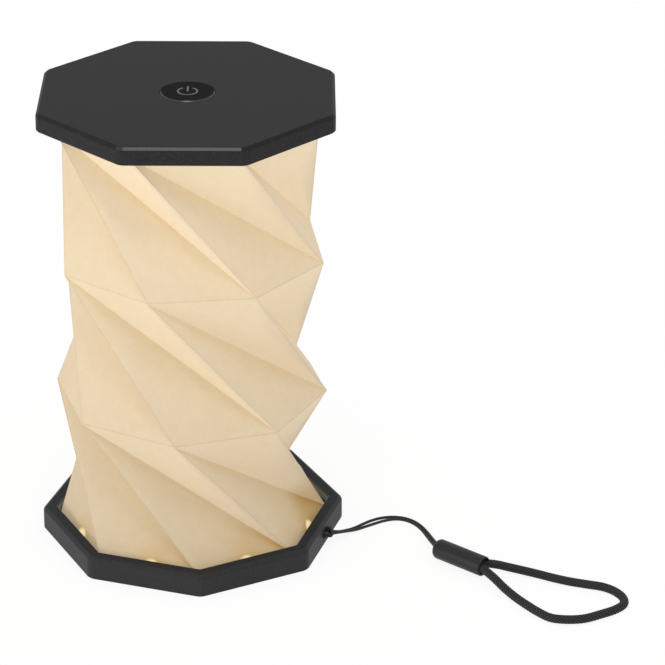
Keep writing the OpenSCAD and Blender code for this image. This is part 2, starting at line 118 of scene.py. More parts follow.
LID_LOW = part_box("lid_cover")[0][2]
LID_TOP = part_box("lid_cover")[1][2]
LID_CEILING = LID_TOP - 0.0015
LID_PLATE_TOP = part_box("lid_plate")[1][2]
LEDGE_WIDTH = 0.0011
BUTTON_RADIUS = 0.00925
BUTTON_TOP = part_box("power_button")[1][2]
BUTTON_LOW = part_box("power_button")[0][2]
BUTTON_FLANGE = 0.0008
FLANGE_THICKNESS = 0.0006
FLANGE_TOP = LID_CEILING - 0.0001
STEM_RADIUS = 0.002
BUTTON_EDGE = 0.0003
BUTTON_AROUND = 128

# Folded sheet, and how its two middle rings have settled
TIERS = 3
TIER_TURN = math.radians(54)
LID_TURN = -TIERS * TIER_TURN
SHADE_GAP = 0.00075
SHADE_RADIUS = (INNER_APOTHEM - SHADE_GAP) / math.cos(HALF_SIDE)
SHADE_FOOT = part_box("folded_shade")[0][2]
SHADE_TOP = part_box("folded_shade")[1][2]
TIER_HEIGHT = (SHADE_TOP - SHADE_FOOT) / TIERS
SHEET_THICKNESS = 0.00045
PANEL_CUTS = 15
SETTLED_TURN = [0, math.radians(-0.69), math.radians(-1.84), 0]
SETTLED_LIFT = [0, -0.0011, 0, 0]
DRAWN_CORNER = (2, 6)
DRAWN_IN = 0.002

# Strap, by the same points as its solids
THIN_CORD_DIAMETER = 0.0011
THIN_CORD_STEP = 0.0002
THIN_CORD_AROUND = 18
LOOP_DIAMETER = 0.0031
LOOP_STEP = 0.00016
LOOP_AROUND = 60
BACK_STRAND = [
    (0.0512, 0.0009, 0.0046), (0.0536, 0.0042, 0.003), (0.0556, 0.0082, 0.0018), (0.0574, 0.0122, 0.001),
    (0.0592, 0.0162, 0.0007), (0.0614, 0.0198, 0.0006), (0.0642, 0.0226, 0.0006), (0.0676, 0.0244, 0.0006),
    (0.0714, 0.025, 0.0006), (0.0752, 0.0241, 0.0006), (0.0785, 0.022, 0.0006), (0.0814, 0.0192, 0.0006),
    (0.0842, 0.0153, 0.001), (0.0868, 0.0109, 0.002), (0.089, 0.007, 0.003), (0.091, 0.0034, 0.0037),
]
FRONT_STRAND = [
    (0.0512, -0.0005, 0.004), (0.0538, 0.0026, 0.0035), (0.056, 0.0068, 0.0022), (0.0582, 0.011, 0.001),
    (0.0604, 0.0146, 0.0006), (0.0628, 0.0176, 0.0006), (0.0654, 0.0206, 0.0006), (0.0684, 0.0229, 0.0006),
    (0.0716, 0.0237, 0.0006), (0.0748, 0.023, 0.0006), (0.0779, 0.0211, 0.0006), (0.0808, 0.0182, 0.0006),
    (0.0834, 0.0145, 0.0009), (0.086, 0.0101, 0.0018), (0.0882, 0.0061, 0.0029), (0.0902, 0.0027, 0.0036),
]
LOOP_ROUTE = [
    (0.108, -0.0026, 0.0037), (0.1132, -0.0012, 0.0032), (0.1176, -0.0002, 0.0023), (0.1224, 0.0002, 0.0017),
    (0.128, -0.0004, 0.0016), (0.134, -0.0014, 0.0016), (0.14, -0.002, 0.0016), (0.146, -0.002, 0.0016),
    (0.1516, -0.002, 0.0016), (0.1562, -0.0036, 0.0016), (0.1598, -0.0068, 0.0016), (0.1612, -0.011, 0.0016),
    (0.1592, -0.0156, 0.0016), (0.155, -0.0204, 0.0016), (0.1504, -0.0248, 0.0016), (0.145, -0.0272, 0.0016),
    (0.1396, -0.0278, 0.0016), (0.1348, -0.0256, 0.0016), (0.13, -0.0224, 0.0016), (0.1246, -0.0184, 0.0017),
    (0.1196, -0.0144, 0.0022), (0.1148, -0.0102, 0.003), (0.11, -0.0066, 0.0036), (0.1069, -0.0054, 0.0037),
]
STOPPER_CENTRE = Vector((0.1, -0.001, 0.0037))
STOPPER_TURN = math.radians(-21.7)
STOPPER_LENGTH = 0.021
STOPPER_RADIUS = 0.0036


def place_camera():
    """Stands where the photograph was taken from, and aims a little beside the lamp as it does."""
    azimuth = math.radians(20.2)
    elevation = math.radians(25.301)
    distance = 1.0784
    aim_height = 0.0866
    pan = math.radians(2.627)
    tilt = math.radians(-0.553)
    roll = math.radians(-0.7845)
    data = bpy.data.cameras.new("camera")
    data.lens = 166.98
    data.sensor_width = 36
    camera = bpy.data.objects.new("camera", data)
    bpy.context.scene.collection.objects.link(camera)
    camera.matrix_world = (
        Matrix.Translation((0, 0, aim_height))
        @ Matrix.Rotation(azimuth, 4, "Z") @ Matrix.Rotation(math.pi / 2 - elevation, 4, "X")
        @ Matrix.Translation((0, 0, distance))
        @ Matrix.Rotation(-pan, 4, "Y") @ Matrix.Rotation(tilt, 4, "X") @ Matrix.Rotation(roll, 4, "Z"))
    bpy.context.scene.camera = camera


# Steps that every piece is modelled with
def choose_only(piece):
    """Selects one piece and nothing else."""
    bpy.ops.object.select_all(action="DESELECT")
    piece.select_set(True)
    bpy.context.view_layer.objects.active = piece


def name_piece(name):
    """Names the primitive just added, and puts its place into its mesh."""
    piece = bpy.context.object
    piece.name = name
    piece.data.name = name
    choose_only(piece)
    bpy.ops.object.transform_apply(location=True, rotation=True, scale=True)
    return piece


def add(primitive, name, **settings):
    """Adds a primitive at its size and place."""
    bpy.ops.object.select_all(action="DESELECT")
    primitive(**settings)
    return name_piece(name)


def cylinder(name, around, radius, low, high, turn=0.0):
    """Upright cylinder between two heights."""
    return add(
        bpy.ops.mesh.primitive_cylinder_add, name, vertices=around, radius=radius, depth=high - low,
        location=(0, 0, (low + high) / 2), rotation=(0, 0, turn))


def edit(piece):
    """Opens one piece in edit mode."""
    choose_only(piece)
    bpy.ops.object.mode_set(mode="EDIT")


def done():
    """Closes edit mode."""
    bpy.ops.object.mode_set(mode="OBJECT")


def pick(piece, kind, test):
    """Selects what passes a test, in edit mode.

    The test is given a point's place, an edge's two ends, or a face's centre and normal.
    """
    bpy.ops.mesh.select_mode(type=kind)
    bpy.ops.mesh.select_all(action="DESELECT")
    shape = bmesh.from_edit_mesh(piece.data)
    if kind == "VERT":
        for point in shape.verts:
            point.select_set(test(point.co))
    elif kind == "EDGE":
        for edge in shape.edges:
            edge.select_set(test(edge.verts[0].co, edge.verts[1].co))
    else:
        for face in shape.faces:
            face.select_set(test(face.calc_center_median(), face.normal))
    bmesh.update_edit_mesh(piece.data)


def pick_all():
    bpy.ops.mesh.select_all(action="SELECT")


def extrude(x, y, z):
    """Draws out what is selected in edit mode."""
    bpy.ops.mesh.extrude_region_move(TRANSFORM_OT_translate={"value": (x, y, z)})


def round_edges(piece, test, radius, steps):
    """Bevels the edges that pass the test; one step is a plain chamfer."""
    edit(piece)
    pick(piece, "EDGE", test)
    bpy.ops.mesh.bevel(offset=radius, offset_type="OFFSET", segments=steps, profile=0.5, affect="EDGES")
    done()


def use_modifier(piece, kind, **settings):
    """Adds one modifier and applies it at once."""
    choose_only(piece)
    modifier = piece.modifiers.new(kind.lower(), kind)
    for setting, value in settings.items():
        setattr(modifier, setting, value)
    bpy.ops.object.modifier_apply(modifier=modifier.name)


def smooth(piece, angle=SMOOTH_ANGLE):
    choose_only(piece)
    bpy.ops.object.shade_smooth_by_angle(angle=angle)


def smooth_shell(piece):
    """Smooth edges beside flat faces that stay flat."""
    smooth(piece)
    use_modifier(piece, "WEIGHTED_NORMAL", keep_sharp=True)


def join(pieces):
    """Makes one piece of several, under the first one's name."""
    choose_only(pieces[0])
    for piece in pieces[1:]:
        piece.select_set(True)
    if len(pieces) > 1:
        bpy.ops.object.join()
    return pieces[0]


def repeat_at(piece, places):
    """Copies a piece that stands at the origin to each place, and joins the copies."""
    copies = []
    for place in places:
        twin = piece.copy()
        twin.data = piece.data.copy()
        twin.data.transform(place)
        bpy.context.scene.collection.objects.link(twin)
        copies.append(twin)
    bpy.data.objects.remove(piece)
    return join(copies)


def around_axis(angles, radius, turn=0.0):
    """Places at a radius, one at each angle."""
    return [Matrix.Rotation(a + turn, 4, "Z") @ Matrix.Translation((radius, 0, 0)) for a in angles]


def cut(piece, cutter):
    """Takes the cutter's shape out of a piece, and deletes the cutter."""
    use_modifier(piece, "BOOLEAN", object=cutter, operation="DIFFERENCE", solver="EXACT")
    bpy.data.objects.remove(cutter)


def finish_piece(piece, body, slot, finish, *nodes):
    """Gives a piece its finish, its body and the nodes that it stands for."""
    piece.data.materials.clear()
    piece.data.materials.append(material_of(finish))
    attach(piece, body)
    if nodes:
        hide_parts(*nodes)


# Strap
def smooth_route(points, step):
    """Points about a step apart on the smooth line through the given points."""
    shares = np.linspace(0, 1, 40, endpoint=False)
    given = np.array(points)
    route = np.vstack([2 * given[0] - given[1], given, 2 * given[-1] - given[-2]])
    fine = []
    for before, start, end, after in zip(route, route[1:], route[2:], route[3:]):
        for share in shares:
            square = share * share
            cube = square * share
            fine.append(0.5 * (
                2 * start + (end - before) * share
                + (2 * before - 5 * start + 4 * end - after) * square
                + (3 * start - before - 3 * end + after) * cube
            ))
    fine.append(given[-1])
    fine = np.array(fine)
    along = np.concatenate([[0], np.cumsum(np.linalg.norm(np.diff(fine, axis=0), axis=1))])
    places = np.linspace(0, along[-1], max(int(along[-1] / step), 2) + 1)
    return np.array([np.interp(places, along, fine[:, axis]) for axis in range(3)]).T


def cord_mesh(name, line, radius, around, relief):
    """Closed tube along a line; relief(turn, length) is the surface's depth in shares of the radius."""
    ahead = np.gradient(line, axis=0)
    ahead /= np.linalg.norm(ahead, axis=1)[:, None]
    side = np.cross(ahead[0], (0, 0, 1))
    side /= np.linalg.norm(side)
    length = 0.0
    points = []
    depths = []
    for i, place in enumerate(line):
        if i:
            length += float(np.linalg.norm(place - line[i - 1]))
            side = side - ahead[i] * np.dot(side, ahead[i])
            side /= np.linalg.norm(side)
        rise = np.cross(side, ahead[i])
        for j in range(around):
            turn = math.tau * j / around
            depth = relief(turn, length)
            outwards = math.cos(turn) * side + math.sin(turn) * rise
            points.append(place + radius * (1 - depth) * outwards)
            depths.append(depth)
    faces = []
    for i in range(len(line) - 1):
        for j in range(around):
            here = i * around
            k = (j + 1) % around
            faces.append((here + j, here + around + j, here + around + k, here + k))
    faces.append(tuple(range(around)))
    last = (len(line) - 1) * around
    faces.append(tuple(last + j for j in reversed(range(around))))
    data = bpy.data.meshes.new(name)
    data.from_pydata([tuple(p) for p in points], [], faces)
    depth_layer = data.attributes.new("depth", "FLOAT", "POINT")
    deepest = max(depths) or 1
    depth_layer.data.foreach_set("value", [d / deepest for d in depths])
    piece = bpy.data.objects.new(name, data)
    bpy.context.scene.collection.objects.link(piece)
    edit(piece)
    pick_all()
    bpy.ops.mesh.normals_make_consistent(inside=False)
    done()
    data.polygons.foreach_set("use_smooth", [len(p.vertices) == 4 for p in data.polygons])
    return piece


def twisted_relief(turn, length):
    """Strands laid round each other."""
    strands = 3
    pitch = 0.0024
    deepest = 0.16
    return deepest * (1 - abs(math.cos(strands / 2 * (turn - math.tau * length / pitch))))


def braided_relief(turn, length):
    """Two sets of strands that pass over and under each other."""
    strands = 8
    pitch = 0.0024
    deepest = 0.11
    crown = 0.4
    wind = strands * turn / 2
    run = math.tau * length / pitch
    one_way = wind + run
    other_way = wind - run
    if (math.floor(one_way / math.pi) + math.floor(other_way / math.pi)) % 2:
        one_way, other_way = other_way, one_way
    return deepest * (1 - abs(math.sin(one_way)) * (1 - crown + crown * abs(math.sin(other_way))))


def thin_cord(name, points):
    """Twisted cord through the given points, and the line along its middle."""
    line = smooth_route(points, THIN_CORD_STEP)
    return cord_mesh(name, line, THIN_CORD_DIAMETER / 2, THIN_CORD_AROUND, twisted_relief), line


def stopper_piece():
    """Barrel with a rounded nose for the thin cord, and a hollow tail that holds the loop."""
    nose = 0.0018
    tail_edge = 0.0004
    socket_radius = 0.003
    socket_depth = 0.0031
    half = STOPPER_LENGTH / 2
    piece = cylinder("cord_stopper_barrel", 64, STOPPER_RADIUS, -half, half)
    round_edges(piece, lambda a, b: max(a.z, b.z) < SLIVER - half, nose, 8)
    edit(piece)
    pick(piece, "FACE", lambda centre, normal: normal.z > FACING)
    bpy.ops.mesh.inset(thickness=STOPPER_RADIUS - socket_radius)
    extrude(0, 0, -socket_depth)
    done()
    on_rim = socket_radius + SLIVER
    round_edges(
        piece, lambda a, b: min(a.z, b.z) > half - SLIVER and min(a.xy.length, b.xy.length) > on_rim,
        tail_edge, 5)
    lay = Matrix.Rotation(STOPPER_TURN, 4, "Z") @ Matrix.Rotation(math.pi / 2, 4, "Y")
    piece.data.transform(Matrix.Translation(STOPPER_CENTRE) @ lay)
    smooth(piece)
    return piece


def hitch_piece():
    """Two turns of thin cord round the bar in the base's side, and the bight that crosses them."""
    radius = THIN_CORD_DIAMETER / 2
    pitch = 0.00125
    stand_off = 0.00035
    slot_depth = 0.00065
    bar_depth = 0.0022
    bar_half = BAR_WIDTH / 2
    slot_middle = bar_half + SLOT_WIDTH / 2
    out_x = APOTHEM + stand_off + radius
    slot_x = APOTHEM - slot_depth
    behind_x = APOTHEM - bar_depth
    lines = []
    for z in (SLOT_MIDDLE - pitch / 2, SLOT_MIDDLE + pitch / 2):
        lines.append([
            (out_x, -slot_middle / 2, z), (out_x, -slot_middle, z), (slot_x, -slot_middle, z),
            (behind_x, -slot_middle * 0.8, z), (behind_x, slot_middle * 0.8, z), (slot_x, slot_middle, z),
            (out_x, slot_middle, z), (out_x, slot_middle / 2, z),
        ])
    top = SLOT_MIDDLE + 1.5 * pitch
    low = SLOT_MIDDLE - 1.5 * pitch
    lines.append([
        (out_x, bar_half, low), (out_x + 2 * radius, bar_half / 2, low + pitch / 2),
        (out_x + 2.6 * radius, bar_half / 3, SLOT_MIDDLE),
        (out_x + 2 * radius, bar_half / 2, top - pitch / 2), (out_x, bar_half, top),
    ])
    join([thin_cord("hitch_turn", line)[0] for line in lines])
    return name_piece("strap_hitch_turns")


def make_strap():
    """Hitch, two strands of thin cord, stopper and braided loop, each on the route of its solid."""
    stopper = stopper_piece()
    hitch = hitch_piece()
    for name, points, held in (
        ("thin_cord_back", BACK_STRAND, [stopper, hitch]), ("thin_cord_front", FRONT_STRAND, [stopper])):
        strand, line = thin_cord(name, points)
        finish_piece(strand, "base", "cord", "cord", "strap_cord")
    line = smooth_route(LOOP_ROUTE, LOOP_STEP)
    loop = cord_mesh("braided_loop", line, LOOP_DIAMETER / 2, LOOP_AROUND, braided_relief)
    finish_piece(loop, "base", "cord", "cord", "wrist_loop")
    finish_piece(stopper, "base", "stopper", "stopper", "cord_stopper")
    finish_piece(hitch, "base", "cord", "cord", "strap_hitch")


# Finishes
class NodeWork:
    """Nodes and links of one material or world, and the steps that they are built by."""

    colour_inputs = (6, 7)
    colour_output = 2

    def __init__(self, tree):
        self.nodes = tree.nodes
        self.links = tree.links

    def put(self, value, socket):
        """Sets a socket to a value, or links an output to it."""
        if isinstance(value, bpy.types.NodeSocket):
            self.links.new(value, socket)
        else:
            socket.default_value = value

    def new(self, kind, inputs=None, **fields):
        """Adds a node, sets its fields, and sets or links its inputs."""
        node = self.nodes.new("ShaderNode" + kind)
        for field, value in fields.items():
            setattr(node, field, value)
        for name, value in (inputs or {}).items():
            self.put(value, node.inputs[name])
        return node

    def own_value(self, name, output="Fac"):
        """Value that the mesh carries at each of its points or faces."""
        return self.new("Attribute", attribute_name=name).outputs[output]

    def grain(self, scale, detail=3.0, place=None):
        """Noise over the piece's own coordinates, or over the given ones."""
        if place is None:
            place = self.new("TexCoord").outputs["Object"]
        return self.new("TexNoise", {"Scale": scale, "Detail": detail, "Vector": place}).outputs["Fac"]

    def combine(self, operation, *values):
        """One sum, with a number or an output in each place."""
        return self.new("Math", dict(enumerate(values)), operation=operation).outputs[0]

    def product(self, first, *others):
        for other in others:
            first = self.combine("MULTIPLY", first, other)
        return first

    def spread(self, value, low, high):
        """Maps a value from 0 to 1 onto a range."""
        return self.new("MapRange", {"Value": value, "To Min": low, "To Max": high}).outputs["Result"]

    def fade(self, value, near, far):
        """1 at the near value, smoothly down to 0 at the far one."""
        inputs = {"Value": value, "From Min": near, "From Max": far, "To Min": 1, "To Max": 0}
        return self.new("MapRange", inputs, interpolation_type="SMOOTHSTEP").outputs["Result"]

    def tint(self, value, low, high, low_at=0.3, high_at=0.7):
        """Turns a value into a colour between two."""
        ramp = self.new("ValToRGB", {"Fac": value})
        for element, colour, place in zip(ramp.color_ramp.elements, (low, high), (low_at, high_at)):
            element.position = place
            element.color = (*colour, 1)
        return ramp.outputs["Color"]

    def mixed(self, colour, other, amount, blend="MIX"):
        """Mixes another colour in, by an amount from 0 to 1."""
        first, second = self.colour_inputs
        inputs = {"Factor": amount, first: colour, second: (*other, 1)}
        return self.new("Mix", inputs, data_type="RGBA", blend_type=blend).outputs[self.colour_output]

    def shaded(self, colour, other, amount):
        """Multiplies a colour by another, by an amount from 0 to 1."""
        return self.mixed(colour, other, amount, "MULTIPLY")


class Finish(NodeWork):
    """One material and its shader."""

    def __init__(self, name, roughness, metallic=0.0, specular=0.5):
        self.material = bpy.data.materials.new(name)
        self.material.use_nodes = True
        super().__init__(self.material.node_tree)
        self.shader = self.nodes["Principled BSDF"]
        self.give("Roughness", roughness)
        self.give("Metallic", metallic)
        self.give("Specular IOR Level", specular)

    def give(self, name, value):
        """Sets or links one of the shader's sockets."""
        self.put(value, self.shader.inputs[name])

    def raise_surface(self, height, distance):
        """Relief too fine for the mesh."""
        self.give("Normal", self.new("Bump", {"Distance": distance, "Height": height}).outputs["Normal"])


def grey(level):
    """A neutral grey with a trace of blue."""
    return (level, level, level * 1.02)


def grained_finish(name, low, high, roughness, scale, depth, metallic=0.0, specular=0.5):
    """A moulded, lacquered or plated finish: one fine grain in its colour, gloss and surface."""
    gloss_change = 0.12
    finish = Finish(name, roughness, metallic, specular)
    fine = finish.grain(scale)
    finish.give("Base Color", finish.tint(fine, low, high))
    finish.give(
        "Roughness", finish.spread(fine, roughness * (1 - gloss_change), roughness * (1 + gloss_change)))
    finish.raise_surface(fine, depth)
    return finish.material


def cord_black():
    """Black fibres, with painted light on the tops of the strands and painted shade between them."""
    strand_top = grey(0.06)
    strand_side = grey(0.005)
    finish = Finish("cord_black", 0.62, specular=0.3)
    finish.give("Base Color", finish.tint(finish.own_value("depth"), strand_top, strand_side, 0.03, 0.45))
    finish.raise_surface(finish.grain(5200, 4), 0.00004)
    return finish.material


class SheetPlace:
    """Where each point of the sheet lies at rest, which way it faces, and how near its folds are."""

    def __init__(self, finish):
        self.rest = finish.own_value("rest", "Vector")
        self.x, self.y, self.height = finish.new("SeparateXYZ", {0: self.rest}).outputs
        self.upwards = finish.own_value("faces_up")
        self.downwards = finish.combine("SUBTRACT", 1, self.upwards)
        valley = finish.own_value("valley")
        ridge = finish.own_value("ridge")
        self.from_valley = finish.combine("DIVIDE", valley, finish.combine("ADD", valley, ridge))
        self.from_ridge = finish.combine("SUBTRACT", 1, self.from_valley)
        self.from_crease = finish.combine("MINIMUM", ridge, finish.own_value("level"))


def fold_colours(finish, place):
    """Painted light and shade: paler towards the top, a little lighter or darker by the way each panel
    faces, golden beside its valley and greyer beside its ridge where shade falls, and greyer along its
    creases.
    """
    low = (0.7, 0.58, 0.4)
    high = (0.86, 0.72, 0.5)
    painted_shade_facing_up = (0.988, 0.978, 1.0)
    painted_light_facing_down = (1.01, 0.99, 0.96)
    painted_valley_shade = (1.02, 1.0, 0.935)
    painted_ridge_shade = (0.87, 0.88, 0.925)
    on_crease = (0.92, 0.915, 0.91)
    # The tint by height is painted light, paler towards the top.
    colour = finish.tint(finish.combine("DIVIDE", place.height, SHADE_TOP), low, high, 0.06, 0.95)
    # Painted shade on up-facing panels and painted light on down-facing ones, and painted shade beside
    # valleys and ridges.
    for other, amount in (
        (painted_shade_facing_up, place.upwards),
        (painted_light_facing_down, place.downwards),
        (painted_valley_shade, finish.product(finish.fade(place.from_valley, 0, 0.75), place.upwards)),
        (painted_ridge_shade, finish.product(finish.fade(place.from_ridge, 0, 0.5), place.downwards)),
        (on_crease, finish.fade(place.from_crease, 0.0001, 0.0008)),
    ):
        colour = finish.shaded(colour, other, amount)
    return colour


def foot_colours(finish, place, colour):
    """Painted shade at the foot: darker towards it, more golden on the strap's side, and amber in the
    corners and in one patch on that side.
    """
    painted_foot_shade = (0.95, 0.955, 0.94)
    golden = (1.0, 0.98, 0.93)
    amber = (0.84, 0.6, 0.24)
    painted_amber_patch = (0.84, 0.76, 0.56)
    patch_place = (0.0425, 0.0085, 0.012)
    towards_strap = finish.fade(place.x, SHADE_RADIUS, -SHADE_RADIUS)
    in_corner = finish.product(
        finish.fade(place.from_valley, 0, 0.6), finish.fade(place.height, 0.006, 0.022), towards_strap,
        place.upwards)
    from_patch = finish.new("VectorMath", {0: place.rest, 1: patch_place}, operation="DISTANCE")
    # All four are painted shade on the sheet's foot.
    for other, amount in (
        (painted_foot_shade, finish.product(finish.fade(place.height, 0.02, 0.075), place.upwards)),
        (golden, finish.product(finish.fade(place.height, SHADE_FOOT, 0.022), towards_strap)),
        (amber, in_corner),
        (painted_amber_patch, finish.fade(from_patch.outputs["Value"], 0.002, 0.017)),
    ):
        colour = finish.shaded(colour, other, amount)
    return colour


def paper_grain(finish, place, colour):
    """Upright fibres and soft clouds in the colour. Returns it, and the fibres for the surface."""
    fibre_shade = (0.94, 0.93, 0.91)
    fibre_stretch = 0.12
    cloud_shade = (0.98, 0.975, 0.965)
    stretched = finish.new("Mapping", {"Vector": place.rest, "Scale": (1, 1, fibre_stretch)})
    fibres = finish.grain(1100, 3, stretched.outputs[0])
    clouds = finish.grain(260, 2, place.rest)
    colour = finish.shaded(colour, fibre_shade, fibres)
    return finish.shaded(colour, cloud_shade, finish.fade(clouds, 0.3, 0.7)), fibres


def light_spots(finish, place):
    """Amount of each light's spot on the foot, and of the halo round it."""
    height = 0.0054
    radius = 0.0026
    stretch = 0.75
    turn = finish.combine("ARCTAN2", place.y, place.x)
    from_middle = finish.combine("WRAP", turn, HALF_SIDE, -HALF_SIDE)
    across = finish.product(from_middle, INNER_APOTHEM * stretch)
    above = finish.combine("SUBTRACT", place.height, height)
    squares = finish.combine("ADD", finish.product(across, across), finish.product(above, above))
    far = finish.combine("SQRT", squares)
    return finish.fade(far, radius * 0.45, radius), finish.fade(far, radius / 2, radius * 3.2)


def cream_sheet():
    """Paper lit from inside: its colour is shared between what it reflects and a weak glow."""
    black = (0, 0, 0)
    spot_colour = (1.0, 0.83, 0.5)
    halo_shade = (1, 0.93, 0.75)
    painted_glow_facing_down = (0.9, 0.79, 0.67)
    spot_glow = (1.05, 0.78, 0.45)
    glow_strength = 0.615
    finish = Finish("cream_sheet", 0.7, specular=0.2)
    place = SheetPlace(finish)
    colour = foot_colours(finish, place, fold_colours(finish, place))
    colour, fibres = paper_grain(finish, place, colour)
    spot, halo = light_spots(finish, place)
    colour = finish.shaded(colour, halo_shade, halo)
    colour = finish.mixed(colour, spot_colour, spot)
    glow = finish.mixed(colour, black, 0.475)
    glow = finish.mixed(glow, painted_glow_facing_down, finish.product(place.downwards, 0.25))
    finish.give("Base Color", finish.mixed(colour, black, 0.25))
    finish.give("Emission Color", finish.mixed(glow, spot_glow, spot))
    finish.give("Emission Strength", glow_strength)
    finish.raise_surface(fibres, 0.00003)
    return finish.material


SHELL = dict(roughness=0.46, scale=1300, depth=0.00003, specular=0.06)
GRAINED_FINISHES = {
    "plastic": dict(SHELL, name="charcoal_shell", low=grey(0.0165), high=grey(0.0265)),
    # Lighter copy of the charcoal for the lid's sides: painted light.
    "lid_wall_painted_light": dict(SHELL, name="charcoal_lid_sides_painted_light", low=grey(0.0225), high=grey(0.0345)),
    # Lighter copy of the charcoal for the tray's outer walls: painted light.
    "tray_wall_painted_light": dict(SHELL, name="charcoal_tray_sides_painted_light", low=grey(0.033), high=grey(0.044), specular=0.08),
    # Bluish copy of the charcoal for the rim's top: painted sheen.
    "rim": dict(SHELL, name="charcoal_rim_painted_sheen", low=(0.018, 0.0205, 0.024), high=(0.026, 0.029, 0.033)),
    # Lighter, glossier copy of the charcoal, only on the lid's front cut edge: painted highlight.
    "edge": dict(
        name="charcoal_front_edge_highlight", low=grey(0.024), high=grey(0.03), roughness=0.28, scale=2600, depth=0.00001,
        specular=0.33),
    # Lighter copy of the charcoal for the tray's rounded upper edge: painted soft highlight.
    "tray_edge_highlight": dict(
        name="charcoal_painted_soft_highlight", low=grey(0.024), high=grey(0.034), roughness=0.4, scale=1300,
        depth=0.00002, specular=0.14),
    # Light bluish grey copy of the charcoal for the well's upper inner wall: painted reflection.
    "painted_reflection_wall": dict(
        name="charcoal_painted_reflection", low=(0.17, 0.19, 0.23), high=(0.22, 0.245, 0.285), roughness=0.5,
        scale=1300, depth=0.00001, specular=0.3),
    "lip": dict(
        name="charcoal_lip", low=grey(0.018), high=grey(0.024), roughness=0.3, scale=1800, depth=0.000005,
        specular=0.6),
    # Lighter, glossier copy of the button's black for its cut edge: painted highlight.
    "button_rim_highlight": dict(
        name="button_rim_highlight", low=grey(0.02), high=grey(0.025), roughness=0.26, scale=1800, depth=0.000005,
        specular=0.7),
    "button_plastic": dict(
        name="button_black", low=grey(0.005), high=grey(0.008), roughness=0.5, scale=1800, depth=0.00001,
        specular=0.02),
    "mark": dict(
        name="mark_grey", low=grey(0.13), high=grey(0.17), roughness=0.5, scale=2400, depth=0.00001,
        specular=0.1),
    "board": dict(
        name="board_green", low=(0.01, 0.07, 0.025), high=(0.02, 0.13, 0.05), roughness=0.3, scale=500,
        depth=0.00002),
    "board_parts": dict(
        name="moulded_black", low=grey(0.012), high=grey(0.03), roughness=0.4, scale=1500, depth=0.00002),
    "metal": dict(
        name="plated_metal", low=grey(0.5), high=grey(0.66), roughness=0.28, scale=3000, depth=0.00001,
        metallic=1.0),
    "battery": dict(
        name="foil_pouch", low=grey(0.55), high=grey(0.75), roughness=0.35, scale=300, depth=0.00006,
        metallic=0.8),
    "foam": dict(
        name="closed_foam", low=grey(0.05), high=grey(0.12), roughness=0.9, scale=1400, depth=0.00008),
    "light": dict(
        name="yellow_phosphor", low=(0.8, 0.6, 0.12), high=(0.95, 0.78, 0.25), roughness=0.4, scale=900,
        depth=0.00001),
    "lens": dict(
        name="moulded_lens", low=(0.85, 0.78, 0.6), high=(0.95, 0.9, 0.75), roughness=0.12, scale=400,
        depth=0.00001),
    "wire": dict(
        name="wire_red", low=(0.3, 0.015, 0.01), high=(0.5, 0.03, 0.02), roughness=0.5, scale=900,
        depth=0.00002),
    "stopper": dict(
        name="stopper_black", low=grey(0.016), high=grey(0.024), roughness=0.42, scale=1500, depth=0.00002,
        specular=0.25),
}
OWN_FINISHES = {"sheet": cream_sheet, "cord": cord_black}
made_finishes = {}


def material_of(finish):
    """Makes each finish at its first use."""
    if finish not in made_finishes:
        if finish in OWN_FINISHES:
            made_finishes[finish] = OWN_FINISHES[finish]()
        else:
            made_finishes[finish] = grained_finish(**GRAINED_FINISHES[finish])
    return made_finishes[finish]


def paint_cad_nodes():
    """Gives every solid the finish of its material slot."""
    for entry in frame["record"]["subparts"]:
        node = frame["nodes"][entry["node"]]
        node.data.materials.clear()
        node.data.materials.append(material_of(entry["material_slot"]))


# Folded shade
def shade_corner(ring, i):
    """Corner of the sheet between two tiers, as it has settled."""
    turn = HALF_SIDE - ring * TIER_TURN + i * 2 * HALF_SIDE + SETTLED_TURN[ring]
    radius = SHADE_RADIUS - (DRAWN_IN if (ring, i) == DRAWN_CORNER else 0)
    lift = ring * TIER_HEIGHT + SETTLED_LIFT[ring]
    return Vector((radius * math.cos(turn), radius * math.sin(turn), SHADE_FOOT + lift))


def fold_lines():
    """Ends of the ridge folds, the valley folds and the level folds."""
    ridges = []
    valleys = []
    levels = []
    for ring in range(TIERS):
        for i in range(SIDES):
            ridges.append((shade_corner(ring + 1, i), shade_corner(ring, i)))
            valleys.append((shade_corner(ring + 1, i), shade_corner(ring, (i + 1) % SIDES)))
    for ring in range(TIERS + 1):
        for i in range(SIDES):
            levels.append((shade_corner(ring, i), shade_corner(ring, (i + 1) % SIDES)))
    return ridges, valleys, levels


def distances(points, lines):
    """Distance from each point to the nearest of the lines."""
    nearest = np.full(len(points), np.inf)
    for start, end in lines:
        a = np.array(start)
        along = np.array(end) - a
        share = np.clip((points - a) @ along / (along @ along), 0, 1)
        nearest = np.minimum(nearest, np.linalg.norm(points - a - share[:, None] * along, axis=1))
    return nearest


def mesh_vectors(piece, kind="co"):
    """Places of a mesh's points, or their normals."""
    flat = np.empty(len(piece.data.vertices) * 3)
    piece.data.vertices.foreach_get(kind, flat)
    return flat.reshape(-1, 3)


